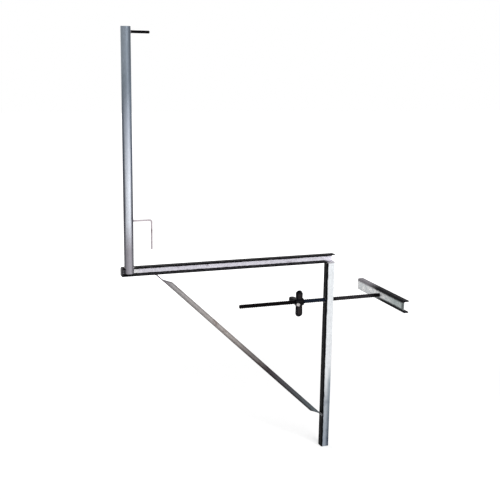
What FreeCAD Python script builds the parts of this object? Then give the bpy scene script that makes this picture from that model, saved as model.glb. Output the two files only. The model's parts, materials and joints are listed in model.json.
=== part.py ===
import FreeCAD, Part
import math
import os

# Scaffold bracket that is clamped to a concrete wall by one tie rod.
# A channel carries the deck boards, a square leg bears on the wall below it, a tube brace closes the
# triangle, and a tube post carries the guard rail. The tie rod passes through the leg and the wall,
# ends in a clamp channel on the far side, and is tightened by a wing nut.
# Millimetres. The origin is on the tie rod's axis where it leaves the wall face of the leg.
# +X points into the wall, +Y to the back, +Z up.

# Deck beam: cold-formed channel, open to the front
BEAM_LENGTH = 1034.0
BEAM_HEIGHT = 40.0
BEAM_DEPTH = 38.0
BEAM_WALL = 4.0
BEAM_INNER_RADIUS = 2.0
DECK_ABOVE_ROD = 227.0
END_PLATE_WALL = 4.0
END_PLATE_CROP = 10.0

# Leg: square tube under the wall end of the beam
LEG_SIDE = 40.0
LEG_WALL = 3.0
LEG_INNER_RADIUS = 2.0
LEG_LENGTH = 946.0

# Guard post: round tube welded into the beam's outer end, its foot left open above the lower flange
POST_DIAMETER = 42.4
POST_WALL = 3.2
POST_ABOVE_DECK = 1034.0
POST_FROM_BEAM_END = 34.0
POST_FOOT_DRAIN = 9.0

# Guard rail pin and toe board hook on the post
PIN_DIAMETER = 12.0
PIN_SPIGOT_DIAMETER = 8.0
PIN_REACH = 81.0
PIN_BELOW_POST_TOP = 22.0
PIN_END_CHAMFER = 2.0
HOOK_DIAMETER = 8.0
HOOK_REACH = 82.5
HOOK_ABOVE_DECK = 207.5
HOOK_DROP = 132.0
HOOK_BEND_RADIUS = 9.0

# Brace: round tube, pressed flat at both ends
BRACE_DIAMETER = 25.0
BRACE_WALL = 2.5
BRACE_TOP_FROM_WALL = 865.0
BRACE_FOOT_BELOW_BEAM = 792.0
BRACE_TOP_TAB = 36.0
BRACE_FOOT_TAB = 28.0
BRACE_TAPER = 40.0
VENT_DIAMETER = 6.0
VENT_FROM_TAPER = 25.0

# Tie rod, the sleeve that guides it through the leg, and the clamp channel on its far end
ROD_DIAMETER = 20.0
ROD_OUTER_REACH = 478.0
ROD_END_CHAMFER = 2.0
SLEEVE_WALL = 3.2
WALL_GAP = 260.0
CLAMP_LENGTH = 470.0
CLAMP_HEIGHT = 60.0
CLAMP_DEPTH = 30.0
CLAMP_WALL = 6.0
CLAMP_INNER_RADIUS = 3.0
CLAMP_WASHER_SIDE = 40.0
CLAMP_WASHER_WALL = 6.0
CLAMP_NUT_ACROSS_FLATS = 30.0
CLAMP_NUT_LENGTH = 24.0
CLAMP_ROD_STICKOUT = 6.0

# Wing nut: one casting, a flanged hub with three swept wings that thicken to their tips
NUT_FACE_FROM_LEG = 113.0
NUT_LENGTH = 42.0
NUT_HUB_DIAMETER = 32.0
NUT_FLANGE_DIAMETER = 37.0
NUT_FLANGE_WALL = 6.0
WING_COUNT = 3
WING_REACH = 71.0
WING_ROOT_WIDTH = 33.0
WING_TIP_WIDTH = 33.0
WING_ROOT_THICKNESS = 13.0
WING_TIP_THICKNESS = 21.0
WING_TIP_RADIUS = 15.0
WING_SWEEP = 15.0
WING_EDGE_CHAMFER = 3.0

# Gaps left between pieces that pass through one another
WELD_GAP = 0.3
RUNNING_GAP = 0.4

# Rounding of the channels' flange toes
TOE_RADIUS = 1.0

# Points nearer than this are one point
SAME_POINT = 1e-6

# Places worked out from the sizes above
DECK_Z = DECK_ABOVE_ROD
BEAM_UNDER_Z = DECK_Z - BEAM_HEIGHT
BEAM_FRONT_Y = -BEAM_DEPTH / 2
BEAM_WEB_Y = BEAM_DEPTH / 2 - BEAM_WALL
POST_X = -BEAM_LENGTH + POST_FROM_BEAM_END
POST_Y = BEAM_WEB_Y - POST_DIAMETER / 2 - WELD_GAP
POST_FOOT_Z = BEAM_UNDER_Z + BEAM_WALL + POST_FOOT_DRAIN
PIN_ABOVE_DECK = POST_ABOVE_DECK - PIN_BELOW_POST_TOP
SLEEVE_BORE = ROD_DIAMETER + 2 * RUNNING_GAP
SLEEVE_DIAMETER = SLEEVE_BORE + 2 * SLEEVE_WALL
ROD_HOLE = ROD_DIAMETER + 2 * WELD_GAP
NUT_FACE_X = -LEG_SIDE - NUT_FACE_FROM_LEG
CLAMP_WASHER_X = WALL_GAP + CLAMP_WALL
CLAMP_NUT_X = CLAMP_WASHER_X + CLAMP_WASHER_WALL
ROD_CLAMP_END_X = CLAMP_NUT_X + CLAMP_NUT_LENGTH + CLAMP_ROD_STICKOUT

X_AXIS = FreeCAD.Vector(1, 0, 0)
Y_AXIS = FreeCAD.Vector(0, 1, 0)
Z_AXIS = FreeCAD.Vector(0, 0, 1)


def vec(x, y, z):
    return FreeCAD.Vector(x, y, z)


def cylinder(diameter, start, direction, length):
    return Part.makeCylinder(diameter / 2, length, start, direction)


def rounded_wire(corners):
    """Closed wire through (point, radius) corners, each rounded by an arc tangent to its two sides."""
    starts, ends, arcs = [], [], []
    for i, (point, radius) in enumerate(corners):
        back = (corners[i - 1][0] - point).normalize()
        ahead = (corners[(i + 1) % len(corners)][0] - point).normalize()
        if radius == 0:
            starts.append(point)
            ends.append(point)
            arcs.append(None)
            continue
        half = back.getAngle(ahead) / 2
        middle = (back + ahead).normalize()
        starts.append(point + back * (radius / math.tan(half)))
        ends.append(point + ahead * (radius / math.tan(half)))
        arcs.append(point + middle * (radius / math.sin(half) - radius))
    edges = []
    for i, arc in enumerate(arcs):
        if arc:
            edges.append(Part.Arc(starts[i], arc, ends[i]).toShape())
        following = starts[(i + 1) % len(arcs)]
        if ends[i].distanceToPoint(following) > SAME_POINT:
            edges.append(Part.LineSegment(ends[i], following).toShape())
    return Part.Wire(edges)


def channel(height, depth, wall, inner_radius, length):
    """Channel along +X from the origin, web's outer face on y = 0, flanges towards -Y, centred on z = 0."""
    top = height / 2
    outer = inner_radius + wall
    profile = [
        (vec(0, -depth, top), TOE_RADIUS),
        (vec(0, 0, top), outer),
        (vec(0, 0, -top), outer),
        (vec(0, -depth, -top), TOE_RADIUS),
        (vec(0, -depth, -top + wall), TOE_RADIUS),
        (vec(0, -wall, -top + wall), inner_radius),
        (vec(0, -wall, top - wall), inner_radius),
        (vec(0, -depth, top - wall), TOE_RADIUS),
    ]
    return Part.Face(rounded_wire(profile)).extrude(X_AXIS * length)


def square_tube(side, wall, inner_radius, length):
    """Square tube down from the origin along -Z, centred on the Z axis."""
    def ring(half, radius):
        corners = [vec(-half, -half, 0), vec(half, -half, 0), vec(half, half, 0), vec(-half, half, 0)]
        return Part.Face(rounded_wire([(corner, radius) for corner in corners]))

    outside = ring(side / 2, inner_radius + wall)
    inside = ring(side / 2 - wall, inner_radius)
    return outside.cut(inside).extrude(-Z_AXIS * length)


def round_tube(diameter, wall, start, direction, length):
    outside = cylinder(diameter, start, direction, length)
    return outside.cut(cylinder(diameter - 2 * wall, start, direction, length))


def deck_beam():
    beam = channel(BEAM_HEIGHT, BEAM_DEPTH, BEAM_WALL, BEAM_INNER_RADIUS, BEAM_LENGTH - END_PLATE_WALL)
    beam.translate(vec(-BEAM_LENGTH + END_PLATE_WALL, BEAM_DEPTH / 2, DECK_Z - BEAM_HEIGHT / 2))
    notch = cylinder(POST_DIAMETER + 2 * WELD_GAP, vec(POST_X, POST_Y, POST_FOOT_Z), Z_AXIS, BEAM_HEIGHT)
    return beam.cut(notch)


def beam_end_plate():
    """Plate over the beam's outer end, its upper back corner cropped to leave a drain opening."""
    x = -BEAM_LENGTH
    back = BEAM_DEPTH / 2
    outline = [
        vec(x, BEAM_FRONT_Y, BEAM_UNDER_Z),
        vec(x, back, BEAM_UNDER_Z),
        vec(x, back, DECK_Z - END_PLATE_CROP),
        vec(x, back - END_PLATE_CROP, DECK_Z),
        vec(x, BEAM_FRONT_Y, DECK_Z),
    ]
    return Part.Face(Part.makePolygon(outline + outline[:1])).extrude(X_AXIS * END_PLATE_WALL)


def leg():
    tube = square_tube(LEG_SIDE, LEG_WALL, LEG_INNER_RADIUS, LEG_LENGTH)
    tube.translate(vec(-LEG_SIDE / 2, 0, BEAM_UNDER_Z))
    hole = cylinder(SLEEVE_DIAMETER + 2 * WELD_GAP, vec(-LEG_SIDE, 0, 0), X_AXIS, LEG_SIDE)
    return tube.cut(hole)


def rod_sleeve():
    return round_tube(SLEEVE_DIAMETER, SLEEVE_WALL, vec(-LEG_SIDE, 0, 0), X_AXIS, LEG_SIDE)


def post_hole(diameter, above_deck):
    """Hole through the side of the post that faces the wall, for a rod of this diameter."""
    centre = vec(POST_X, POST_Y, DECK_Z + above_deck)
    return cylinder(diameter + 2 * WELD_GAP, centre, X_AXIS, POST_DIAMETER)


def post_bore_side(above_deck):
    """Point on the post's bore, on the side that faces the wall, where a rod in such a hole ends."""
    return vec(POST_X + POST_DIAMETER / 2 - POST_WALL, POST_Y, DECK_Z + above_deck)


def guard_post():
    foot = vec(POST_X, POST_Y, POST_FOOT_Z)
    tube = round_tube(POST_DIAMETER, POST_WALL, foot, Z_AXIS, DECK_Z + POST_ABOVE_DECK - POST_FOOT_Z)
    return tube.cut([
        post_hole(PIN_SPIGOT_DIAMETER, PIN_ABOVE_DECK),
        post_hole(HOOK_DIAMETER, HOOK_ABOVE_DECK),
    ])


def guard_rail_pin():
    """Pin with a spigot that goes through the post's wall and a shoulder that stops against it."""
    inner_end = post_bore_side(PIN_ABOVE_DECK)
    pin = cylinder(PIN_DIAMETER, inner_end + X_AXIS * POST_WALL, X_AXIS, PIN_REACH)
    rim = [edge for edge in pin.Edges if edge.BoundBox.XMin > pin.BoundBox.XMax - PIN_END_CHAMFER]
    spigot = cylinder(PIN_SPIGOT_DIAMETER, inner_end, X_AXIS, POST_WALL)
    return pin.makeChamfer(PIN_END_CHAMFER, rim).fuse(spigot)


def toe_board_hook():
    start = post_bore_side(HOOK_ABOVE_DECK)
    corner = start + X_AXIS * (POST_WALL + HOOK_REACH)
    bend_start = corner - X_AXIS * HOOK_BEND_RADIUS
    bend_end = corner - Z_AXIS * HOOK_BEND_RADIUS
    diagonal = math.sqrt(0.5)
    bend_middle = bend_start + vec(diagonal, 0, diagonal - 1) * HOOK_BEND_RADIUS
    path = Part.Wire([
        Part.LineSegment(start, bend_start).toShape(),
        Part.Arc(bend_start, bend_middle, bend_end).toShape(),
        Part.LineSegment(bend_end, corner - Z_AXIS * HOOK_DROP).toShape(),
    ])
    section = Part.Wire(Part.Circle(start, X_AXIS, HOOK_DIAMETER / 2).toShape())
    return path.makePipeShell([section], True, False)


def brace():
    """Tube from the beam's underside to the leg, with a flat tab pressed at each end.

    It is made along +X, with +Z towards the inner corner, and then turned into place. The upper tab lies
    against the tube's lower side and the foot's tab against its upper side.
    """
    head = vec(-BRACE_TOP_FROM_WALL, 0, BEAM_UNDER_Z)
    foot = vec(-LEG_SIDE, 0, BEAM_UNDER_Z - BRACE_FOOT_BELOW_BEAM)
    length = head.distanceToPoint(foot)
    slope = math.degrees(math.atan2(head.z - foot.z, foot.x - head.x))
    radius = BRACE_DIAMETER / 2
    tab_wall = 2 * BRACE_WALL
    tab_half = (math.pi * (BRACE_DIAMETER - BRACE_WALL) / 2 + BRACE_WALL) / 2

    def round_section(x):
        def at(degrees):
            angle = math.radians(degrees)
            return vec(x, math.cos(angle) * radius, math.sin(angle) * radius)

        crowns = (90, 180, 270, 360)
        return Part.Wire([Part.Arc(at(c - 45), at(c), at(c + 45)).toShape() for c in crowns])

    def flat_section(x, side):
        z = side * (radius - tab_wall / 2)
        straight = tab_half - tab_wall / 2
        upper, lower = z + tab_wall / 2, z - tab_wall / 2
        return Part.Wire([
            Part.LineSegment(vec(x, straight, upper), vec(x, -straight, upper)).toShape(),
            Part.Arc(vec(x, -straight, upper), vec(x, -tab_half, z), vec(x, -straight, lower)).toShape(),
            Part.LineSegment(vec(x, -straight, lower), vec(x, straight, lower)).toShape(),
            Part.Arc(vec(x, straight, lower), vec(x, tab_half, z), vec(x, straight, upper)).toShape(),
        ])

    tube_start = BRACE_TOP_TAB + BRACE_TAPER
    tube_end = length - BRACE_FOOT_TAB - BRACE_TAPER
    spare = tab_half + BRACE_DIAMETER
    head_flat = flat_section(BRACE_TOP_TAB, -1)
    foot_flat = flat_section(length - BRACE_FOOT_TAB, 1)
    outside = cylinder(BRACE_DIAMETER, vec(tube_start, 0, 0), X_AXIS, tube_end - tube_start).fuse([
        Part.makeLoft([head_flat, round_section(tube_start)], True, True),
        Part.makeLoft([round_section(tube_end), foot_flat], True, True),
        Part.Face(head_flat).extrude(-X_AXIS * (BRACE_TOP_TAB + spare)),
        Part.Face(foot_flat).extrude(X_AXIS * (BRACE_FOOT_TAB + spare)),
    ])
    bore = cylinder(BRACE_DIAMETER - tab_wall, vec(tube_start, 0, 0), X_AXIS, tube_end - tube_start)
    vents = [
        cylinder(VENT_DIAMETER, vec(x, 0, 0), -Z_AXIS, BRACE_DIAMETER)
        for x in (tube_start + VENT_FROM_TAPER, tube_end - VENT_FROM_TAPER)
    ]
    strut = outside.removeSplitter().cut([bore] + vents)
    strut.rotate(vec(0, 0, 0), Y_AXIS, slope)
    strut.translate(head)
    margin = 2 * spare
    corner = vec(head.x - margin, -spare, foot.z - margin)
    room = Part.makeBox(foot.x - corner.x, 2 * spare, head.z - corner.z, corner)
    return strut.common(room)


def tie_rod():
    rod = cylinder(ROD_DIAMETER, vec(-ROD_OUTER_REACH, 0, 0), X_AXIS, ROD_OUTER_REACH + ROD_CLAMP_END_X)
    rims = [edge for edge in rod.Edges if edge.BoundBox.XLength < ROD_END_CHAMFER]
    return rod.makeChamfer(ROD_END_CHAMFER, rims)


def clamp_channel():
    """Channel across the rod's far end, its web towards the wall and its flanges away from it."""
    bar = channel(CLAMP_HEIGHT, CLAMP_DEPTH, CLAMP_WALL, CLAMP_INNER_RADIUS, CLAMP_LENGTH)
    bar.translate(vec(-CLAMP_LENGTH / 2, 0, 0))
    bar.rotate(vec(0, 0, 0), Z_AXIS, 90)
    bar.translate(vec(WALL_GAP, 0, 0))
    return bar.cut(cylinder(ROD_HOLE, vec(WALL_GAP, 0, 0), X_AXIS, CLAMP_WALL))


def clamp_washer():
    side = CLAMP_WASHER_SIDE
    plate = Part.makeBox(CLAMP_WASHER_WALL, side, side, vec(CLAMP_WASHER_X, -side / 2, -side / 2))
    return plate.cut(cylinder(ROD_HOLE, vec(CLAMP_WASHER_X, 0, 0), X_AXIS, CLAMP_WASHER_WALL))


def clamp_nut():
    corner = CLAMP_NUT_ACROSS_FLATS / math.sqrt(3)
    turns = [math.radians(60 * k) for k in range(7)]
    hexagon = [vec(CLAMP_NUT_X, corner * math.cos(a), corner * math.sin(a)) for a in turns]
    nut = Part.Face(Part.makePolygon(hexagon)).extrude(X_AXIS * CLAMP_NUT_LENGTH)
    return nut.cut(cylinder(ROD_HOLE, vec(CLAMP_NUT_X, 0, 0), X_AXIS, CLAMP_NUT_LENGTH))


def nut_wing():
    """One wing of the nut, along +Y from the rod's axis, with the nut's bearing face on x = 0."""
    root_middle = -NUT_LENGTH / 2
    tip_middle = root_middle - WING_SWEEP
    outline = [
        (vec(root_middle + WING_ROOT_WIDTH / 2, 0, 0), 0),
        (vec(tip_middle + WING_TIP_WIDTH / 2, WING_REACH, 0), WING_TIP_RADIUS),
        (vec(tip_middle - WING_TIP_WIDTH / 2, WING_REACH, 0), WING_TIP_RADIUS),
        (vec(root_middle - WING_ROOT_WIDTH / 2, 0, 0), 0),
    ]
    thickest = max(WING_ROOT_THICKNESS, WING_TIP_THICKNESS)
    plan = Part.Face(rounded_wire(outline)).extrude(Z_AXIS * thickest)
    plan.translate(vec(0, 0, -thickest / 2))
    end_x = plan.BoundBox.XMin
    flare = [
        vec(end_x, 0, -WING_ROOT_THICKNESS / 2),
        vec(end_x, WING_REACH, -WING_TIP_THICKNESS / 2),
        vec(end_x, WING_REACH, WING_TIP_THICKNESS / 2),
        vec(end_x, 0, WING_ROOT_THICKNESS / 2),
    ]
    side = Part.Face(Part.makePolygon(flare + flare[:1])).extrude(X_AXIS * plan.BoundBox.XLength)
    blade = plan.common(side)
    faces_edges = [edge for edge in blade.Edges if edge.BoundBox.ZMin > 0 or edge.BoundBox.ZMax < 0]
    rims = [edge for edge in faces_edges if edge.BoundBox.YMax > WING_EDGE_CHAMFER]
    return blade.makeChamfer(WING_EDGE_CHAMFER, rims)


def wing_nut():
    hub = cylinder(NUT_HUB_DIAMETER, vec(0, 0, 0), -X_AXIS, NUT_LENGTH)
    flange = cylinder(NUT_FLANGE_DIAMETER, vec(0, 0, 0), -X_AXIS, NUT_FLANGE_WALL)
    wing = nut_wing()
    wings = []
    for k in range(WING_COUNT):
        turned = wing.copy()
        turned.rotate(vec(0, 0, 0), X_AXIS, 360 * k / WING_COUNT)
        wings.append(turned)
    casting = hub.fuse([flange] + wings)
    bore = cylinder(ROD_HOLE, vec(casting.BoundBox.XMin, 0, 0), X_AXIS, casting.BoundBox.XLength)
    nut = casting.cut(bore).removeSplitter()
    nut.translate(vec(NUT_FACE_X, 0, 0))
    return nut


PIECES = [
    deck_beam, beam_end_plate, leg, rod_sleeve, brace, guard_post, guard_rail_pin, toe_board_hook,
    tie_rod, clamp_channel, clamp_washer, clamp_nut, wing_nut,
]

os.makedirs("parts", exist_ok=True)
for make in PIECES:
    shape = make()
    shape.exportStep("parts/" + make.__name__ + ".step")
    print(make.__name__, len(shape.Solids), "solid,", shape.isValid(), round(shape.Volume / 1000, 2), "cm3")
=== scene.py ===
import json
import math

import bmesh
import bpy
from mathutils import Matrix, Vector


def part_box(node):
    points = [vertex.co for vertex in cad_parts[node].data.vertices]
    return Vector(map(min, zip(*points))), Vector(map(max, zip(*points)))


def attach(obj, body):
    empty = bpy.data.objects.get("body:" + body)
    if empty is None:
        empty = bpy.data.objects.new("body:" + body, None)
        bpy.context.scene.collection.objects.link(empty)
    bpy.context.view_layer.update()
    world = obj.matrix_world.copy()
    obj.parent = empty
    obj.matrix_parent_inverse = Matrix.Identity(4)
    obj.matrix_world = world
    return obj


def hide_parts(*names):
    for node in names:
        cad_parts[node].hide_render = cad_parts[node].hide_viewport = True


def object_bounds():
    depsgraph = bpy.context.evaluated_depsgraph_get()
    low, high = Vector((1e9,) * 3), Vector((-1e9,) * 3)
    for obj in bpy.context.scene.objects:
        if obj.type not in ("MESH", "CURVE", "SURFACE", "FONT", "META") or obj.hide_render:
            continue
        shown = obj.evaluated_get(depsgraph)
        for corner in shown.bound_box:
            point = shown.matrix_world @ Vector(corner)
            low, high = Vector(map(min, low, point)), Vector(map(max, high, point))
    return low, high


# Dresses the scaffold bracket: zinc and black steel finishes, a rolled thread on the tie rod,
# a rounded casting for the wing nut, a chamfered clamp nut and the weld beads of the frame.
# Lengths and places are in metres. A pair for a mask is where it starts and where it is full.

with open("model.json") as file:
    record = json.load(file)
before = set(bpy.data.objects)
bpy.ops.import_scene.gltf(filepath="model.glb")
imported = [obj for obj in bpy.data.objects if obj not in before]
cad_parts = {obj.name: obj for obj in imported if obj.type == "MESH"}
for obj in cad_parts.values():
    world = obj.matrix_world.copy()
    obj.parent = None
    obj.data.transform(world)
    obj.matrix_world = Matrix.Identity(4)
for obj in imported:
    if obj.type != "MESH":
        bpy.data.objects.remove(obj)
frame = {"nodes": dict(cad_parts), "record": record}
cad_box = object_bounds()

X_AXIS = Vector((1, 0, 0))
Y_AXIS = Vector((0, 1, 0))
Z_AXIS = Vector((0, 0, 1))
WHITE = (1.0, 1.0, 1.0, 1.0)

# Tie rod's rolled thread: its flank rises between two shares of the pitch and falls the same way
THREAD_PITCH = 0.010
THREAD_DEPTH = 0.0011
THREAD_STEPS = 28
THREAD_LEAD_TURNS = 1.5
THREAD_SPARE_TURNS = 2
THREAD_MERGE = THREAD_PITCH / 1000
FLANK_FOOT = 0.26
FLANK_TOP = 0.38
ROD_END_CHAMFER = 0.002

# Wing nut's casting
CASTING_MERGE = 1e-5
CASTING_GRAIN = 0.0011
CASTING_SOFTENING_ROUNDS = 14
CASTING_SOFTENING_SHARE = 0.5

# Clamp nut
CLAMP_NUT_CHAMFER = 0.003
CLAMP_NUT_END_SHARE = 0.90

# Weld beads: rows of puddles, set a share of their width apart, that grow and shrink along the row
BEAD_WIDTH = 0.0052
SMALL_BEAD_WIDTH = 0.0034
BEAD_STEP = 0.42
BEAD_UNEVEN = 0.12
BEAD_RHYTHM = 2.3
PUDDLE_SEGMENTS = 8
PUDDLE_RINGS = 6
POST_BEAD_OFFSET = 0.006
SLEEVE_BEAD_SUNK = 0.0014

# Brace: its slope, where its axis crosses x = 0, and the tabs at its ends
BRACE_SLOPE = math.radians(43.83)
BRACE_AXIS_Z = -0.6434
TAB_WALL = 0.005
TAB_BEAD_HALF = 0.016
FOOT_TAB_Z = -0.5946

# Every finish's bump
BUMP_STRENGTH = 0.5

# Zinc coat, with its crystals for each metre
ZINC_METALLIC = 0.2
ZINC_GLOSS = 0.1
# Gloss of zinc finishes that carry painted black shade, low so that the painted shade stays black
PAINTED_SHADE_GLOSS = 0.03
ZINC_ROUGHNESS = (0.42, 0.58)
ZINC_BUMP = 0.00012
SPANGLE_CRYSTALS = 90.0
SPANGLE_CONTRAST = 0.2
SPANGLE_WARP = (0.008, 0.008, 0.008)

# Site grime: blotches and specks for each metre, and the noise level of its edge
GRIME_BLOTCHES = 16.0
GRIME_SPECKS = 420.0
GRIME_SPECK_SHARE = 0.25
GRIME_EDGE = 0.98
GRIME_COVER_SHARE = 0.5
GRIME_SOFTNESS = 0.16
GRIME_ROUGHENING = 0.2

# Mill scale of black steel, with its rust
SCALE_GRAIN = (0.3, 0.7)
SCALE_TONES = (0.6, 1.5)
RUST_PATCHES = 55.0
RUST_EDGE = 0.72
RUST_COVER_SHARE = 0.4
RUST_SOFTNESS = 0.14
SCALE_ROUGHNESS = (0.42, 0.75)

# Beam's finish: pale stripe of the web, dropped so that the painted shadow under the upper flange reaches
# onto the web, flanges painted black as shade, a bright place at the post, and the end over the leg left
# without the painted shade
WEB_STRIPE_DROP = 0.0045
FLANGE_SHADE = (0.0075, 0.0105)
FLANGE_UNEVEN = 0.004
PALE_PLACE_HEIGHT = 0.008
PALE_PLACE = (0.036, 0.020)
UNSHADED_END = (-0.044, -0.018)
UNSHADED_MARGIN = 0.01

# Leg's finish: heights between which its tone changes, its painted shade across, and the painted black shade
# of its brace side
LEG_TONE_HEIGHTS = (-0.72, -0.32)
LEG_SHADE = (-0.024, -0.006)
LEG_BLACK_SHADE = (-0.0310, -0.0350)
LEG_UNEVEN = 0.006

# Post's finish: painted highlight stripe off the middle, painted shade on the flanks beside it, and the
# share of height of the top, where painted light and shade fall across it
POST_HIGHLIGHT_OFFSET = 0.003
POST_SHADED_FLANKS = (0.009, 0.016)
POST_UNEVEN = 0.008
POST_STREAKS = (1, 1, 0.1)
POST_TOP = (0.66, 0.90)

# Brace's finish: drift of its tones, depth under the axis and share of its length that carry painted shade
# on the underside
BRACE_DRIFT = 0.1
BRACE_UNDERSIDE = (-0.001, -0.010)
BRACE_SHADED_LENGTH = (0.25, 0.70)

# Clamp's finish: mottle, near half in haze, painted black shade on the bends, painted shade at the near end,
# and the lower far bend left without painted shade
CLAMP_MOTTLE = (0.38, 0.62)
CLAMP_HAZE = (-0.02, -0.17)
CLAMP_HAZE_SHARE = 0.75
CLAMP_STRIPE_Z = 0.003
CLAMP_BEND_SHADE = (0.0085, 0.0195)
CLAMP_UNEVEN = 0.009
CLAMP_SHADED_END = (-0.210, -0.230)
CLAMP_SHADED_END_SHARE = 0.65
CLAMP_LOWER_SIDE = (0.0, -0.010)
CLAMP_UNSHADED_LENGTH = (-0.04, 0.12)
CLAMP_UNSHADED_SHARE = 0.9
CLAMP_FADED_LENGTH = (0.02, 0.14)

# Rod's finish along its length: blued from the nut to the leg, worn from the leg to the clamp
BLUED_START = (-0.19, -0.15)
BLUED_END = (0.0, -0.03)
WORN_START = (0.0, 0.03)
WORN_END = (0.24, 0.18)

# Nut's finish: the place of a painted glint, and the wings' faces, painted lighter as light caught in them,
# which sweep back with their reach
GLINT_PLACE = (-0.184, -0.0135, -0.011)
GLINT_EDGE = (0.0105, 0.0065)
GLINT_RAGGED = 0.008
WING_ROOT_X = -0.174
WING_SLANT = 0.21
WING_FACE = (0.0125, 0.0055)
WING_FOOT = (0.022, 0.034)
WING_TIP = (0.070, 0.058)

# Camera, fitted to the edges in the photograph
CAMERA_PLACE = Vector((-1.78454, -3.67826, 1.10595))
CAMERA_YAW = math.radians(20.23)
CAMERA_PITCH = math.radians(12.04)
CAMERA_ROLL = math.radians(0.83)
CAMERA_LENS = 62.16
CAMERA_SENSOR = 36.0

# Floor: how far from the origin its shadow shows, and how much of its white is its own there
FLOOR_SIZE = 30.0
FLOOR_GAP = 0.0005
FLOOR_GREY = (0.8, 0.8, 0.8, 1.0)
FLOOR_ROUGHNESS = 0.9
FLOOR_SHADOW_REACH = 1.5
FLOOR_WHITE_REACH = 3.5
FLOOR_GLOW = 0.50

# Lamps, placed from the middle of the bracket, and the world's even light
SOFTBOX_SIZE = 3.0
FRONT_SOFTBOX_OFFSET = Vector((1.0, -4.0, 1.5))
FRONT_SOFTBOX_POWER = 152.0
BACK_SOFTBOX_OFFSET = Vector((-1.5, 4.0, 2.0))
BACK_SOFTBOX_POWER = 50.0
WORLD_LIGHT = 0.34

# Sockets of a colour Mix node, whose names repeat
MIX_SHARE, MIX_FIRST, MIX_SECOND = 0, 6, 7
MIX_COLOUR = 2


def place_in_scene(name, data):
    """Object of the scene from a mesh, lamp or camera."""
    placed = bpy.data.objects.new(name, data)
    bpy.context.scene.collection.objects.link(placed)
    return placed


def mesh_from(name, bm):
    mesh = bpy.data.meshes.new(name)
    bm.to_mesh(mesh)
    bm.free()
    return mesh


def new_piece(name, bm, body, finish, smooth=True):
    """Object from a bmesh, riding on a body, with its finish."""
    mesh = mesh_from(name, bm)
    for face in mesh.polygons:
        face.use_smooth = smooth
    mesh.materials.append(finish)
    piece = place_in_scene(name, mesh)
    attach(piece, body)
    return piece


# Finishes

def shown(red, green, blue):
    """Linear colour of a value from 0 to 255 as it reads on a screen, by the sRGB curve."""
    def linear(value):
        share = value / 255
        return share / 12.92 if share <= 0.04045 else ((share + 0.055) / 1.055) ** 2.4

    return (linear(red), linear(green), linear(blue), 1.0)


class Recipe:
    """Places and links the nodes of one material or node group."""

    def __init__(self, tree):
        self.tree = tree

    def node(self, kind, inputs=None, **settings):
        made = self.tree.nodes.new(kind)
        for name, value in settings.items():
            setattr(made, name, value)
        for name, value in (inputs or {}).items():
            self.feed(value, made.inputs[name])
        return made

    def feed(self, value, socket):
        """Links a socket's value to another socket, or sets it as a constant."""
        if isinstance(value, bpy.types.NodeSocket):
            self.tree.links.new(value, socket)
        else:
            socket.default_value = value

    def math(self, operation, first, second=0.0):
        return self.node("ShaderNodeMath", {0: first, 1: second}, operation=operation).outputs[0]

    def both(self, first, second):
        """Mask where two masks overlap."""
        return self.math("MULTIPLY", first, second)

    def without(self, mask, cleared):
        """Mask less what another mask clears from it."""
        return self.both(mask, self.math("SUBTRACT", 1.0, cleared))

    def away(self, value, middle):
        """How far a value is from a middle, to either side."""
        return self.math("ABSOLUTE", self.math("SUBTRACT", value, middle))

    def remap(self, value, low, high, to_low=0.0, to_high=1.0):
        """Soft step of a value from low to high."""
        inputs = {"Value": value, "From Min": low, "From Max": high, "To Min": to_low, "To Max": to_high}
        return self.node("ShaderNodeMapRange", inputs, interpolation_type="SMOOTHSTEP").outputs["Result"]

    def share(self, value, low, high):
        """How far a value is from low to high, from 0 to 1."""
        inputs = {"Value": value, "From Min": low, "From Max": high}
        return self.node("ShaderNodeMapRange", inputs).outputs["Result"]

    def mix(self, share, first, second, blend="MIX"):
        made = self.node("ShaderNodeMix", data_type="RGBA", blend_type=blend)
        self.feed(share, made.inputs[MIX_SHARE])
        self.feed(first, made.inputs[MIX_FIRST])
        self.feed(second, made.inputs[MIX_SECOND])
        return made.outputs[MIX_COLOUR]

    def ramp(self, value, stops):
        """Colours along a value, from (place, colour) stops between 0 and 1."""
        made = self.node("ShaderNodeValToRGB", {"Fac": value})
        while len(made.color_ramp.elements) < len(stops):
            made.color_ramp.elements.new(0.5)
        for element, (place, colour) in zip(made.color_ramp.elements, stops):
            element.position = place
            element.color = colour
        return made.outputs["Color"]

    def place(self):
        return self.node("ShaderNodeTexCoord").outputs["Object"]

    def axes(self):
        """Object coordinates as three separate values."""
        return self.node("ShaderNodeSeparateXYZ", {"Vector": self.place()}).outputs

    def distance(self, point):
        """How far the surface is from a point of the frame."""
        inputs = {0: self.place(), 1: point}
        return self.node("ShaderNodeVectorMath", inputs, operation="DISTANCE").outputs["Value"]

    def length(self, vector):
        return self.node("ShaderNodeVectorMath", {0: vector}, operation="LENGTH").outputs["Value"]

    def noise(self, scale, detail=3.0, rough=0.55, stretch=(1, 1, 1)):
        moved = self.node("ShaderNodeMapping", {"Vector": self.place(), "Scale": stretch}).outputs["Vector"]
        inputs = {"Vector": moved, "Scale": scale, "Detail": detail, "Roughness": rough}
        return self.node("ShaderNodeTexNoise", inputs).outputs["Fac"]

    def uneven(self, amount, scale, **grain):
        """Noise about 0 that reaches half the amount to either side."""
        return self.math("MULTIPLY", self.math("SUBTRACT", self.noise(scale, **grain), 0.5), amount)

    def use(self, group, **inputs):
        """A node group with its inputs set, by name."""
        made = self.node("ShaderNodeGroup", node_tree=group)
        for name, value in inputs.items():
            self.feed(value, made.inputs[name])
        return made.outputs


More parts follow.
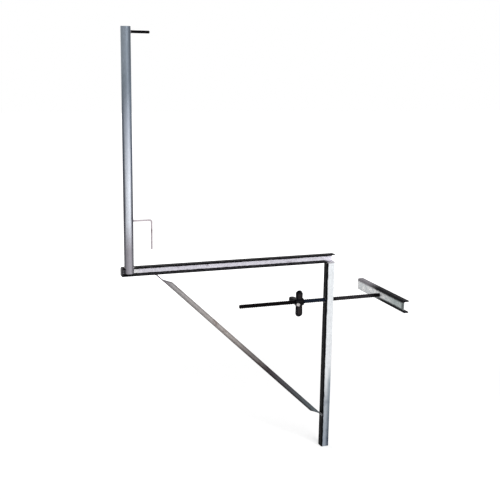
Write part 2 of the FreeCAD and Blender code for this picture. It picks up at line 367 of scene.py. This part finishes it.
def effect(name, inputs, outputs):
    """Empty shader node group with named number inputs and outputs."""
    tree = bpy.data.node_groups.new(name, "ShaderNodeTree")
    for in_out, names in (("INPUT", inputs), ("OUTPUT", outputs)):
        for socket in names:
            tree.interface.new_socket(socket, in_out=in_out, socket_type="NodeSocketFloat")
    recipe = Recipe(tree)
    return recipe, recipe.node("NodeGroupInput").outputs, recipe.node("NodeGroupOutput").inputs


def make_zinc_spangle():
    """Crystals of a hot-dip zinc coat: a tone about 1, a roughness and a height for each crystal."""
    recipe, given, out = effect("zinc_spangle", ["Crystals", "Contrast"], ["Tone", "Roughness", "Height"])
    warp = recipe.node("ShaderNodeTexNoise", {"Vector": recipe.place(), "Scale": given["Crystals"]})
    bend = recipe.node(
        "ShaderNodeVectorMath", {0: warp.outputs["Color"], 1: SPANGLE_WARP}, operation="MULTIPLY")
    bent = recipe.node("ShaderNodeVectorMath", {0: recipe.place(), 1: bend.outputs[0]}, operation="ADD")
    cells = recipe.node("ShaderNodeTexVoronoi", {"Vector": bent.outputs[0], "Scale": given["Crystals"]})
    crystal = recipe.node("ShaderNodeSeparateColor", {"Color": cells.outputs["Color"]}).outputs["Red"]
    spread = recipe.math("MULTIPLY", recipe.math("SUBTRACT", crystal, 0.5), given["Contrast"])
    recipe.feed(recipe.math("ADD", spread, 1.0), out["Tone"])
    recipe.feed(recipe.remap(crystal, 0.0, 1.0, *ZINC_ROUGHNESS), out["Roughness"])
    recipe.feed(crystal, out["Height"])
    return recipe.tree


def make_site_grime():
    """Dirt and cement haze of a building site: soft blotches broken by fine specks, as one mask."""
    recipe, given, out = effect("site_grime", ["Blotches", "Cover"], ["Mask"])
    blotch = recipe.node(
        "ShaderNodeTexNoise", {"Vector": recipe.place(), "Scale": given["Blotches"], "Detail": 5.0})
    specks = recipe.noise(GRIME_SPECKS, detail=2.0)
    broken = recipe.math("ADD", blotch.outputs["Fac"], recipe.math("MULTIPLY", specks, GRIME_SPECK_SHARE))
    edge = recipe.math("SUBTRACT", GRIME_EDGE, recipe.math("MULTIPLY", given["Cover"], GRIME_COVER_SHARE))
    soft = recipe.math("SUBTRACT", edge, GRIME_SOFTNESS)
    recipe.feed(recipe.remap(broken, soft, edge), out["Mask"])
    return recipe.tree


def make_mill_scale():
    """Skin of hot-rolled or cast black steel: a tone about 1, a mask of brown rust, a height."""
    recipe, given, out = effect("mill_scale", ["Grain", "Rust"], ["Tone", "Rust", "Height"])
    inputs = {"Vector": recipe.place(), "Scale": given["Grain"], "Detail": 4.0}
    grain = recipe.node("ShaderNodeTexNoise", inputs).outputs["Fac"]
    recipe.feed(recipe.remap(grain, *SCALE_GRAIN, *SCALE_TONES), out["Tone"])
    patches = recipe.noise(RUST_PATCHES, detail=6.0, rough=0.65)
    low = recipe.math("SUBTRACT", RUST_EDGE, recipe.math("MULTIPLY", given["Rust"], RUST_COVER_SHARE))
    rust = recipe.remap(patches, low, recipe.math("ADD", low, RUST_SOFTNESS))
    recipe.feed(rust, out["Rust"])
    recipe.feed(grain, out["Height"])
    return recipe.tree


zinc_spangle = make_zinc_spangle()
site_grime = make_site_grime()
mill_scale = make_mill_scale()


def new_finish(name):
    """Material with its recipe and the inputs of its Principled shader."""
    finish = bpy.data.materials.new(name)
    finish.use_nodes = True
    return finish, Recipe(finish.node_tree), finish.node_tree.nodes["Principled BSDF"].inputs


def bump(recipe, height, distance):
    inputs = {"Height": height, "Distance": distance, "Strength": BUMP_STRENGTH}
    return recipe.node("ShaderNodeBump", inputs).outputs["Normal"]


def toned(recipe, colour, tone):
    """Colour made lighter or darker by a tone about 1."""
    return recipe.mix(1.0, colour, tone, "MULTIPLY")


def coat_zinc(
        recipe, shader, clean, dirt, cover, crystals=SPANGLE_CRYSTALS, contrast=SPANGLE_CONTRAST,
        metallic=ZINC_METALLIC, gloss=ZINC_GLOSS):
    """Zinc coat over a clean colour, with grime that multiplies it, on a Principled shader's inputs."""
    spangle = recipe.use(zinc_spangle, Crystals=crystals, Contrast=contrast)
    grime_and_shade = recipe.use(site_grime, Blotches=GRIME_BLOTCHES, Cover=cover)["Mask"]
    crystals_shown = toned(recipe, clean, spangle["Tone"])
    recipe.feed(recipe.mix(grime_and_shade, crystals_shown, dirt, "MULTIPLY"), shader["Base Color"])
    rough = recipe.math("ADD", spangle["Roughness"], recipe.math("MULTIPLY", grime_and_shade, GRIME_ROUGHENING))
    recipe.feed(rough, shader["Roughness"])
    recipe.feed(bump(recipe, spangle["Height"], ZINC_BUMP), shader["Normal"])
    recipe.feed(metallic, shader["Metallic"])
    shader["Specular IOR Level"].default_value = gloss


def bare(recipe, painted_shade_mask):
    """How metallic a zinc coat is where part of it is painted black as shade."""
    return recipe.remap(painted_shade_mask, 0.0, 1.0, ZINC_METALLIC, 0.0)


def black_skin(recipe, shader, colour, rust_colour, grain, rust, depth, gloss):
    """Mill scale with rust patches on a Principled shader's inputs."""
    skin = recipe.use(mill_scale, Grain=grain, Rust=rust)
    scaled = toned(recipe, colour, skin["Tone"])
    recipe.feed(recipe.mix(skin["Rust"], scaled, rust_colour), shader["Base Color"])
    recipe.feed(recipe.remap(skin["Rust"], 0.0, 1.0, *SCALE_ROUGHNESS), shader["Roughness"])
    recipe.feed(bump(recipe, skin["Height"], depth), shader["Normal"])
    shader["Specular IOR Level"].default_value = gloss


def make_beam_zinc():
    """Pale web, brighter at the post's foot, between flanges painted black as shade, with painted shadow
    under the upper flange; at the end over the leg the painted shade is left off.
    """
    dull, pale, bright = shown(223, 221, 232), shown(247, 244, 253), shown(250, 250, 252)
    # soot is painted shade: the near-black of the flanges and of the shadow under the upper flange
    painted_shade_black, dust = shown(6, 5, 8), shown(205, 201, 204)
    finish, recipe, shader = new_finish("beam_zinc")
    low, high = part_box("deck_beam")
    axes = recipe.axes()
    # The stripe's middle sits below the web's middle, so the painted shadow under the upper flange reaches
    # further onto the web
    off_stripe = recipe.away(axes["Z"], (low.z + high.z) / 2 - WEB_STRIPE_DROP)
    ragged = recipe.math("ADD", off_stripe, recipe.uneven(FLANGE_UNEVEN, scale=60.0))
    # Flanges, and the web just under the upper one, painted black as shade
    flange_shade = recipe.remap(ragged, *FLANGE_SHADE)
    web = recipe.mix(recipe.noise(scale=9.0, detail=4.0), dull, pale)
    post_foot = (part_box("guard_post")[1].x, high.y, low.z + PALE_PLACE_HEIGHT)
    # A brighter place on the web at the post's foot
    paler_patch = recipe.remap(recipe.distance(post_foot), *PALE_PLACE)
    web = recipe.mix(paler_patch, web, bright)
    # Towards the lower edge of the end over the leg, the painted shade is left off
    unshaded_end = recipe.both(
        recipe.remap(axes["X"], *UNSHADED_END),
        recipe.remap(axes["Z"], high.z - UNSHADED_MARGIN, low.z + UNSHADED_MARGIN))
    painted_shade_mask = recipe.without(flange_shade, unshaded_end)
    clean = recipe.mix(painted_shade_mask, web, painted_shade_black)
    coat_zinc(
        recipe, shader, clean, dust, cover=0.16, metallic=bare(recipe, painted_shade_mask), gloss=PAINTED_SHADE_GLOSS)
    return finish


def make_leg_zinc():
    """Square tube, pale towards the top and bluer towards the foot, with painted shade across its face and
    the brace's side painted black as shade.
    """
    # soot is the near-black of the painted shade on the leg's brace side
    painted_shade_black, dust = shown(5, 5, 8), shown(222, 224, 228)
    finish, recipe, shader = new_finish("leg_zinc")
    axes = recipe.axes()
    across = recipe.math("ADD", axes["X"], recipe.uneven(LEG_UNEVEN, scale=40.0))
    height = recipe.share(axes["Z"], *LEG_TONE_HEIGHTS)
    left = recipe.ramp(height, [
        (0.0, shown(150, 158, 169)),
        (0.52, shown(170, 175, 181)),
        (0.85, shown(216, 219, 222)),
    ])
    right = recipe.ramp(height, [
        (0.0, shown(70, 78, 90)),
        (0.74, shown(138, 148, 156)),
        (1.0, shown(215, 218, 221)),
    ])
    # Towards +x the face takes the darker ramp: painted shade across the face
    face = recipe.mix(recipe.remap(across, *LEG_SHADE), left, right)
    # The face towards the brace is painted black as shade
    painted_shade_mask = recipe.remap(across, *LEG_BLACK_SHADE)
    clean = recipe.mix(painted_shade_mask, face, painted_shade_black)
    coat_zinc(
        recipe, shader, clean, dust, cover=0.14, contrast=0.1,
        metallic=bare(recipe, painted_shade_mask), gloss=PAINTED_SHADE_GLOSS)
    return finish


def make_post_zinc():
    """Round tube, blue grey at the top and pale below, with a painted highlight down its front and painted
    shade on its flanks, darkest in the lower half; at the top painted light on its left and painted shade on
    its right.
    """
    # At the top the left is painted lighter as light and the right darker as shade
    top_painted_lit, top_painted_shade, dust = shown(150, 160, 171), shown(64, 72, 83), shown(200, 200, 206)
    finish, recipe, shader = new_finish("post_zinc")
    low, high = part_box("guard_post")
    axes = recipe.axes()
    height = recipe.share(axes["Z"], low.z, high.z)
    # front: the painted highlight down the tube's front, by height
    front = recipe.ramp(height, [
        (0.10, shown(146, 143, 150)),
        (0.22, shown(198, 202, 211)),
        (0.35, shown(204, 209, 218)),
        (0.62, shown(154, 161, 173)),
        (0.80, shown(102, 112, 123)),
    ])
    # flank: painted shade on both sides of the highlight, by height
    painted_shade_flank = recipe.ramp(height, [
        (0.0, shown(114, 112, 118)),
        (0.22, shown(68, 68, 76)),
        (0.48, shown(66, 72, 86)),
        (0.80, shown(112, 122, 134)),
    ])
    top_light_and_shade = recipe.mix(recipe.share(axes["X"], low.x, high.x), top_painted_lit, top_painted_shade)
    streaks = recipe.uneven(POST_UNEVEN, scale=30.0, rough=0.5, stretch=POST_STREAKS)
    # Distance from the painted highlight's stripe; beyond it the flanks take the painted shade
    off_stripe = recipe.away(axes["X"], (low.x + high.x) / 2 - POST_HIGHLIGHT_OFFSET)
    painted_flank_mask = recipe.remap(recipe.math("ADD", off_stripe, streaks), *POST_SHADED_FLANKS)
    upper = recipe.remap(height, *POST_TOP)
    clean = recipe.mix(upper, recipe.mix(painted_flank_mask, front, painted_shade_flank), top_light_and_shade)
    coat_zinc(recipe, shader, clean, dust, cover=0.14, crystals=110.0, contrast=0.12, metallic=0.3)
    return finish


def make_brace_steel():
    """Worn tube, zinc grey at the beam and dark grey at the leg, with painted shade on its underside."""
    # The first colour here is painted shade, multiplied onto the tube's underside
    grime_and_shade, dust = shown(158, 146, 148), shown(204, 190, 184)
    finish, recipe, shader = new_finish("brace_steel")
    low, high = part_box("brace")
    axes = recipe.axes()
    along = recipe.share(axes["X"], low.x, high.x)
    drifted = recipe.math("ADD", along, recipe.uneven(BRACE_DRIFT, scale=12.0))
    colour = recipe.ramp(drifted, [
        (0.03, shown(88, 79, 90)),
        (0.08, shown(142, 139, 140)),
        (0.40, shown(154, 148, 145)),
        (0.66, shown(62, 56, 60)),
        (0.95, shown(82, 88, 92)),
    ])
    # Painted shade on the underside of the tube, over the middle of its length
    sideways = recipe.math("MULTIPLY", axes["X"], math.sin(BRACE_SLOPE))
    upward = recipe.math("MULTIPLY", recipe.math("SUBTRACT", axes["Z"], BRACE_AXIS_Z), math.cos(BRACE_SLOPE))
    underside = recipe.remap(recipe.math("ADD", sideways, upward), *BRACE_UNDERSIDE)
    painted_underside_shade = recipe.both(underside, recipe.remap(along, *BRACE_SHADED_LENGTH))
    clean = recipe.mix(painted_underside_shade, colour, grime_and_shade, "MULTIPLY")
    coat_zinc(recipe, shader, clean, dust, cover=0.28, crystals=120.0, metallic=0.3)
    return finish


def make_hook_zinc():
    """Thin rod, evenly pale."""
    dull, pale, dust = shown(168, 158, 163), shown(190, 181, 186), shown(190, 180, 180)
    finish, recipe, shader = new_finish("hook_zinc")
    clean = recipe.mix(recipe.noise(scale=30.0), dull, pale)
    coat_zinc(
        recipe, shader, clean, dust, cover=0.2, crystals=400.0, contrast=0.15, metallic=0.3, gloss=0.2)
    return finish


def make_clamp_zinc():
    """Mottled channel with cement haze, with painted black shade along its bends and flanges and at its near
    end, left off on the far part of the lower bend.
    """
    pale, white, haze = shown(230, 234, 236), shown(255, 255, 255), shown(172, 184, 182)
    # soot and faded_painted_shade are painted shade: black at the near half, greyer at the far half
    painted_shade_black, faded_painted_shade, dust = shown(10, 10, 16), shown(150, 146, 152), shown(205, 207, 209)
    finish, recipe, shader = new_finish("clamp_zinc")
    axes = recipe.axes()
    mottle = recipe.mix(recipe.remap(recipe.noise(scale=34.0, detail=5.0), *CLAMP_MOTTLE), pale, white)
    near = recipe.remap(axes["Y"], *CLAMP_HAZE)
    face = recipe.mix(recipe.math("MULTIPLY", near, CLAMP_HAZE_SHARE), mottle, haze)
    uneven = recipe.uneven(CLAMP_UNEVEN, scale=45.0)
    # The bends and flanges away from the stripe are painted black as shade
    off_stripe = recipe.away(axes["Z"], CLAMP_STRIPE_Z)
    bend_shade = recipe.remap(recipe.math("ADD", off_stripe, uneven), *CLAMP_BEND_SHADE)
    # The near end is painted dark as shade too
    near_end_shade = recipe.remap(axes["Y"], *CLAMP_SHADED_END, 0.0, CLAMP_SHADED_END_SHARE)
    # On the far part of the lower bend the painted shade is left off
    unshaded_below = recipe.both(
        recipe.remap(axes["Z"], *CLAMP_LOWER_SIDE),
        recipe.remap(axes["Y"], *CLAMP_UNSHADED_LENGTH, 0.0, CLAMP_UNSHADED_SHARE))
    painted_shade_mask = recipe.math("MAXIMUM", recipe.without(bend_shade, unshaded_below), near_end_shade)
    edge = recipe.mix(recipe.remap(axes["Y"], *CLAMP_FADED_LENGTH), painted_shade_black, faded_painted_shade)
    clean = recipe.mix(painted_shade_mask, face, edge)
    coat_zinc(
        recipe, shader, clean, dust, cover=0.18, crystals=120.0, contrast=0.14,
        metallic=bare(recipe, painted_shade_mask), gloss=PAINTED_SHADE_GLOSS)
    return finish


def make_black_rod():
    """Oiled black bar, blued where the nut runs up to the leg and worn grey where it lies in the wall."""
    black, blue, grey, rust = shown(7, 5, 6), shown(22, 28, 40), shown(42, 40, 43), shown(26, 17, 15)
    finish, recipe, shader = new_finish("black_rod")
    along = recipe.axes()["X"]
    blued = recipe.both(recipe.remap(along, *BLUED_START), recipe.remap(along, *BLUED_END))
    worn_and_lit = recipe.both(recipe.remap(along, *WORN_START), recipe.remap(along, *WORN_END))
    colour = recipe.mix(worn_and_lit, recipe.mix(blued, black, blue), grey)
    black_skin(recipe, shader, colour, rust, grain=300.0, rust=0.22, depth=0.00015, gloss=0.02)
    return finish


def make_dark_steel():
    """Bare dark steel of the small fittings."""
    dark, rust = shown(22, 20, 23), shown(50, 38, 35)
    finish, recipe, shader = new_finish("dark_steel")
    black_skin(recipe, shader, dark, rust, grain=180.0, rust=0.25, depth=0.0001, gloss=0.05)
    return finish


def make_cast_nut():
    """Sand-cast black iron, painted lighter brown on the wings' faces as caught light, with a painted glint
    at the foot of one wing.
    """
    black, painted_light_brown, bright, rust = shown(9, 9, 13), shown(40, 36, 37), shown(188, 184, 183), shown(30, 24, 23)
    finish, recipe, shader = new_finish("cast_nut")
    # A painted glint at the foot of one wing, on the hub
    from_glint = recipe.distance(GLINT_PLACE)
    ragged = recipe.math("ADD", from_glint, recipe.uneven(GLINT_RAGGED, scale=160.0))
    painted_glint = recipe.remap(ragged, *GLINT_EDGE)
    axes = recipe.axes()
    # The middle of each wing's face is painted lighter brown, as light caught there
    outward = recipe.node("ShaderNodeCombineXYZ", {"Y": axes["Y"], "Z": axes["Z"]}).outputs["Vector"]
    reach = recipe.length(outward)
    swept = recipe.math("ADD", axes["X"], recipe.math("MULTIPLY", reach, WING_SLANT))
    off_middle = recipe.away(swept, WING_ROOT_X)
    wing = recipe.both(recipe.remap(off_middle, *WING_FACE), recipe.remap(reach, *WING_FOOT))
    worn_and_lit = recipe.both(wing, recipe.remap(reach, *WING_TIP))
    iron = recipe.mix(worn_and_lit, black, painted_light_brown)
    colour = recipe.mix(painted_glint, iron, bright)
    black_skin(recipe, shader, colour, rust, grain=520.0, rust=0.2, depth=0.0006, gloss=0.04)
    return finish


def make_weld_metal():
    """Silver grey beads with blue and straw heat tints."""
    dust = shown(170, 164, 164)
    finish, recipe, shader = new_finish("weld_metal")
    tint = recipe.ramp(recipe.noise(scale=90.0), [
        (0.30, shown(92, 94, 108)),
        (0.50, shown(168, 167, 172)),
        (0.70, shown(150, 134, 118)),
    ])
    coat_zinc(recipe, shader, tint, dust, cover=0.3, crystals=260.0, contrast=0.3, metallic=0.5, gloss=0.3)
    return finish


finishes = {
    "beam_zinc": make_beam_zinc(),
    "leg_zinc": make_leg_zinc(),
    "post_zinc": make_post_zinc(),
    "brace_steel": make_brace_steel(),
    "hook_zinc": make_hook_zinc(),
    "clamp_zinc": make_clamp_zinc(),
    "black_rod": make_black_rod(),
    "dark_steel": make_dark_steel(),
    "cast_nut": make_cast_nut(),
}
for subpart in frame["record"]["subparts"]:
    mesh = frame["nodes"][subpart["node"]].data
    mesh.materials.clear()
    mesh.materials.append(finishes[subpart["material_slot"]])


# Pieces

def everything(bm):
    return bm.verts[:] + bm.edges[:] + bm.faces[:]


def verts_of(parts):
    return [part for part in parts if isinstance(part, bmesh.types.BMVert)]


def edges_of(parts):
    return [part for part in parts if isinstance(part, bmesh.types.BMEdge)]


def along_x(place):
    """Turns a shape made around +Z to lie around +X at a place."""
    return Matrix.Translation(place) @ Matrix.Rotation(math.radians(90), 4, "Y")


def tie_rod_thread():
    """Rod with a coarse rolled thread: one turn of its profile, doubled along the rod and cut to length."""
    low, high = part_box("tie_rod")
    crest = (high.z - low.z) / 2
    core = crest - THREAD_DEPTH
    profile = [
        (0.0, core), (FLANK_FOOT, core), (FLANK_TOP, crest),
        (1 - FLANK_TOP, crest), (1 - FLANK_FOOT, core), (1.0, core),
    ]
    bm = bmesh.new()
    points = []
    for share, radius in profile:
        x = low.x + (share - THREAD_LEAD_TURNS) * THREAD_PITCH
        points.append(bm.verts.new((x, 0, radius)))
    for first, second in zip(points, points[1:]):
        bm.edges.new((first, second))
    bmesh.ops.spin(
        bm, geom=everything(bm), cent=(0, 0, 0), axis=X_AXIS, dvec=X_AXIS * (THREAD_PITCH / THREAD_STEPS),
        angle=math.tau, steps=THREAD_STEPS)
    turns = 1
    while turns < (high.x - low.x) / THREAD_PITCH + THREAD_SPARE_TURNS:
        copied = bmesh.ops.duplicate(bm, geom=everything(bm))["geom"]
        bmesh.ops.translate(bm, verts=verts_of(copied), vec=X_AXIS * (THREAD_PITCH * turns))
        turns *= 2
    bmesh.ops.remove_doubles(bm, verts=bm.verts, dist=THREAD_MERGE)
    bmesh.ops.recalc_face_normals(bm, faces=bm.faces)
    for end, outward in ((low.x + ROD_END_CHAMFER, -X_AXIS), (high.x - ROD_END_CHAMFER, X_AXIS)):
        cut = bmesh.ops.bisect_plane(
            bm, geom=everything(bm), plane_co=X_AXIS * end, plane_no=outward, clear_outer=True)["geom_cut"]
        cap = bmesh.ops.edgeloop_fill(bm, edges=edges_of(cut))["faces"]
        bmesh.ops.recalc_face_normals(bm, faces=bm.faces)
        bmesh.ops.inset_region(bm, faces=cap, thickness=ROD_END_CHAMFER, depth=ROD_END_CHAMFER)
    piece = new_piece("tie_rod_thread", bm, "tie", finishes["black_rod"])
    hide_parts("tie_rod")


def wing_nut_casting():
    """The nut's own form with every edge and inner corner softened, as sand casting leaves it."""
    bm = bmesh.new()
    bm.from_mesh(frame["nodes"]["wing_nut"].data)
    bmesh.ops.remove_doubles(bm, verts=bm.verts, dist=CASTING_MERGE)
    piece = new_piece("wing_nut_casting", bm, "nut", finishes["cast_nut"])
    grain = piece.modifiers.new("grain", "REMESH")
    grain.mode = "VOXEL"
    grain.voxel_size = CASTING_GRAIN
    grain.use_smooth_shade = True
    soften = piece.modifiers.new("soften", "SMOOTH")
    soften.factor = CASTING_SOFTENING_SHARE
    soften.iterations = CASTING_SOFTENING_ROUNDS
    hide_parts("wing_nut")


def clamp_nut_hexagon():
    """Hexagon nut with both ends chamfered."""
    low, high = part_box("clamp_nut")
    corner = (high.y - low.y) / 2
    bm = bmesh.new()
    bmesh.ops.create_circle(
        bm, segments=6, radius=corner * CLAMP_NUT_END_SHARE, matrix=along_x(X_AXIS * low.x))
    edges = bm.edges[:]
    bmesh.ops.edgeloop_fill(bm, edges=edges)
    straight = high.x - low.x - 2 * CLAMP_NUT_CHAMFER
    steps = [
        (CLAMP_NUT_CHAMFER, 1 / CLAMP_NUT_END_SHARE),
        (straight, 1),
        (CLAMP_NUT_CHAMFER, CLAMP_NUT_END_SHARE),
    ]
    for advance, share in steps:
        grown = bmesh.ops.extrude_edge_only(bm, edges=edges)["geom"]
        edges = edges_of(grown)
        bmesh.ops.translate(bm, verts=verts_of(grown), vec=X_AXIS * advance)
        bmesh.ops.scale(bm, verts=verts_of(grown), vec=(1, share, share))
    bmesh.ops.edgeloop_fill(bm, edges=edges)
    bmesh.ops.recalc_face_normals(bm, faces=bm.faces)
    piece = new_piece("clamp_nut_hexagon", bm, "tie", finishes["black_rod"], smooth=False)
    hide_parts("clamp_nut")


def puddle(bm, place, width, index):
    """One puddle of a bead, a little larger or smaller than the last."""
    radius = width / 2 * (1 + BEAD_UNEVEN * math.sin(BEAD_RHYTHM * index))
    bmesh.ops.create_uvsphere(
        bm, u_segments=PUDDLE_SEGMENTS, v_segments=PUDDLE_RINGS, radius=radius,
        matrix=Matrix.Translation(place))


def straight_bead(bm, start, end, width=BEAD_WIDTH):
    """Bead from one (x, y, z) place to another."""
    start, end = Vector(start), Vector(end)
    count = math.ceil((end - start).length / (width * BEAD_STEP))
    for k in range(count + 1):
        puddle(bm, start.lerp(end, k / count), width, k)


def ring_bead(bm, centre, first_axis, second_axis, radius, sweep=(0, 360), width=BEAD_WIDTH, seat=None):
    """Bead round a tube or rod; seat moves a point of the ring onto a curved surface."""
    start, end = (math.radians(angle) for angle in sweep)
    count = math.ceil((end - start) * radius / (width * BEAD_STEP))
    for k in range(count + 1):
        angle = start + (end - start) * k / count
        place = centre + (first_axis * math.cos(angle) + second_axis * math.sin(angle)) * radius
        puddle(bm, seat(place) if seat else place, width, k)


def weld_leg(bm, wall):
    """Leg under the beam: both sides and the face towards the brace; the wall face stays clear."""
    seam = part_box("deck_beam")[0].z
    low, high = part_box("leg")
    for y in (low.y, high.y):
        straight_bead(bm, (low.x + wall, y, seam), (high.x - wall, y, seam))
    straight_bead(bm, (low.x, low.y + wall, seam), (low.x, high.y - wall, seam))


def weld_brace(bm, wall):
    """Brace's tabs under the beam and on the leg, along both of their sides."""
    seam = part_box("deck_beam")[0].z
    leg_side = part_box("leg")[0].x
    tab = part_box("brace")[0].x
    for x in (tab, tab + TAB_WALL / math.sin(BRACE_SLOPE)):
        straight_bead(bm, (x, -TAB_BEAD_HALF, seam), (x, TAB_BEAD_HALF - wall, seam))
    for z in (FOOT_TAB_Z, FOOT_TAB_Z + TAB_WALL / math.cos(BRACE_SLOPE)):
        straight_bead(bm, (leg_side, -TAB_BEAD_HALF, z), (leg_side, TAB_BEAD_HALF, z))


def weld_end_plate(bm, wall):
    """End plate, inside the channel: along both flanges and, clear of those beads, along the web."""
    low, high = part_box("deck_beam")
    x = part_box("beam_end_plate")[1].x
    front, web = low.y + wall / 2, high.y - wall
    lower, upper = low.z + wall, high.z - wall
    for z in (lower, upper):
        straight_bead(bm, (x, front, z), (x, web, z), SMALL_BEAD_WIDTH)
    clear = SMALL_BEAD_WIDTH / 2
    straight_bead(bm, (x, web, lower + clear), (x, web, upper - clear), SMALL_BEAD_WIDTH)


def weld_post(bm, wall, axis, radius):
    """Post in the notch of the upper flange and against the web."""
    low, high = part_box("deck_beam")
    web = high.y - wall
    reach = math.degrees(math.asin((low.y - axis.y) / radius))
    ring_bead(bm, Vector((axis.x, axis.y, high.z)), X_AXIS, Y_AXIS, radius, (reach, 180 - reach))
    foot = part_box("guard_post")[0].z
    for x in (axis.x - POST_BEAD_OFFSET, axis.x + POST_BEAD_OFFSET):
        straight_bead(bm, (x, web, foot), (x, web, high.z - wall))


def weld_pin_and_hook(bm, axis, radius):
    """Guard rail pin and toe board hook on the post's round side."""
    def on_post(place):
        offset = place.y - axis.y
        return Vector((axis.x + math.sqrt(radius ** 2 - offset ** 2), place.y, place.z))

    pin_low, pin_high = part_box("guard_rail_pin")
    pin_middle = (pin_low + pin_high) / 2
    pin_radius = (pin_high.z - pin_low.z) / 2
    ring_bead(bm, pin_middle, Y_AXIS, Z_AXIS, pin_radius, width=SMALL_BEAD_WIDTH, seat=on_post)
    hook_low, hook_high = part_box("toe_board_hook")
    hook_radius = (hook_high.y - hook_low.y) / 2
    hook_end = Vector((hook_low.x, axis.y, hook_high.z - hook_radius))
    ring_bead(bm, hook_end, Y_AXIS, Z_AXIS, hook_radius, width=SMALL_BEAD_WIDTH, seat=on_post)


def weld_sleeve(bm):
    """Sleeve in the leg, with its bead sunk so that the nut can seat on the leg."""
    low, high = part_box("rod_sleeve")
    sleeve_end = X_AXIS * (low.x + SLEEVE_BEAD_SUNK)
    ring_bead(bm, sleeve_end, Y_AXIS, Z_AXIS, high.y, width=SMALL_BEAD_WIDTH)


def frame_welds():
    """Beads that join the beam, leg, brace, end plate, post, pin, hook and sleeve."""
    plate_low, plate_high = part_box("beam_end_plate")
    wall = plate_high.x - plate_low.x
    post_low, post_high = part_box("guard_post")
    post_axis = (post_low + post_high) / 2
    post_radius = (post_high.x - post_low.x) / 2
    bm = bmesh.new()
    weld_leg(bm, wall)
    weld_brace(bm, wall)
    weld_end_plate(bm, wall)
    weld_post(bm, wall, post_axis, post_radius)
    weld_pin_and_hook(bm, post_axis, post_radius)
    weld_sleeve(bm)
    new_piece("frame_welds", bm, "bracket", make_weld_metal())


tie_rod_thread()
wing_nut_casting()
clamp_nut_hexagon()
frame_welds()


# Studio

def seen_directly(recipe):
    """1 for the rays that show the background, straight or in a shiny or clear surface."""
    rays = recipe.node("ShaderNodeLightPath").outputs
    bent = recipe.math("MAXIMUM", rays["Is Glossy Ray"], rays["Is Transmission Ray"])
    return recipe.math("MAXIMUM", rays["Is Camera Ray"], bent)


def make_floor():
    """Pale floor under the leg, white to the camera and darker only where the bracket's shadow falls."""
    level = Z_AXIS * (cad_box[0].z - FLOOR_GAP)
    bm = bmesh.new()
    bmesh.ops.create_grid(
        bm, x_segments=1, y_segments=1, size=FLOOR_SIZE, matrix=Matrix.Translation(level))
    mesh = mesh_from("floor", bm)
    floor = place_in_scene("floor", mesh)
    finish, recipe, shader = new_finish("floor_white")
    shader["Base Color"].default_value = FLOOR_GREY
    shader["Roughness"].default_value = FLOOR_ROUGHNESS
    shader["Specular IOR Level"].default_value = 0.0
    shader["Emission Color"].default_value = WHITE
    reach = recipe.length(recipe.place())
    glow = recipe.remap(reach, FLOOR_SHADOW_REACH, FLOOR_WHITE_REACH, FLOOR_GLOW, 1.0)
    recipe.feed(recipe.math("MULTIPLY", seen_directly(recipe), glow), shader["Emission Strength"])
    mesh.materials.append(finish)


def make_world():
    """Even light from all sides, and white where it is seen."""
    world = bpy.data.worlds.new("studio")
    bpy.context.scene.world = world
    world.use_nodes = True
    recipe = Recipe(world.node_tree)
    background = world.node_tree.nodes["Background"].inputs
    background["Color"].default_value = WHITE
    recipe.feed(recipe.remap(seen_directly(recipe), 0.0, 1.0, WORLD_LIGHT, 1.0), background["Strength"])


def make_softbox(name, offset, power):
    """Square lamp at an offset from the middle of the bracket, turned to it."""
    lamp = bpy.data.lights.new(name, "AREA")
    lamp.shape = "SQUARE"
    lamp.size = SOFTBOX_SIZE
    lamp.energy = power
    target = (cad_box[0] + cad_box[1]) / 2
    place = target + offset
    turned = (target - place).to_track_quat("-Z", "Y").to_matrix().to_4x4()
    place_in_scene(name, lamp).matrix_world = Matrix.Translation(place) @ turned


def make_camera():
    """Camera of the scene, at the photograph's viewpoint."""
    yaw, pitch, roll = CAMERA_YAW, CAMERA_PITCH, CAMERA_ROLL
    ahead = Vector((math.sin(yaw) * math.cos(pitch), math.cos(yaw) * math.cos(pitch), -math.sin(pitch)))
    level = Vector((math.cos(yaw), -math.sin(yaw), 0))
    upright = level.cross(ahead)
    right = level * math.cos(roll) + upright * math.sin(roll)
    up = upright * math.cos(roll) - level * math.sin(roll)
    data = bpy.data.cameras.new("camera")
    data.sensor_width = CAMERA_SENSOR
    data.lens = CAMERA_LENS
    camera = place_in_scene("camera", data)
    turned = Matrix((right, up, -ahead)).transposed().to_4x4()
    camera.matrix_world = Matrix.Translation(CAMERA_PLACE) @ turned
    bpy.context.scene.camera = camera


make_floor()
make_world()
make_softbox("front_softbox", FRONT_SOFTBOX_OFFSET, FRONT_SOFTBOX_POWER)
make_softbox("back_softbox", BACK_SOFTBOX_OFFSET, BACK_SOFTBOX_POWER)
make_camera()
bpy.context.scene.view_settings.view_transform = "Standard"
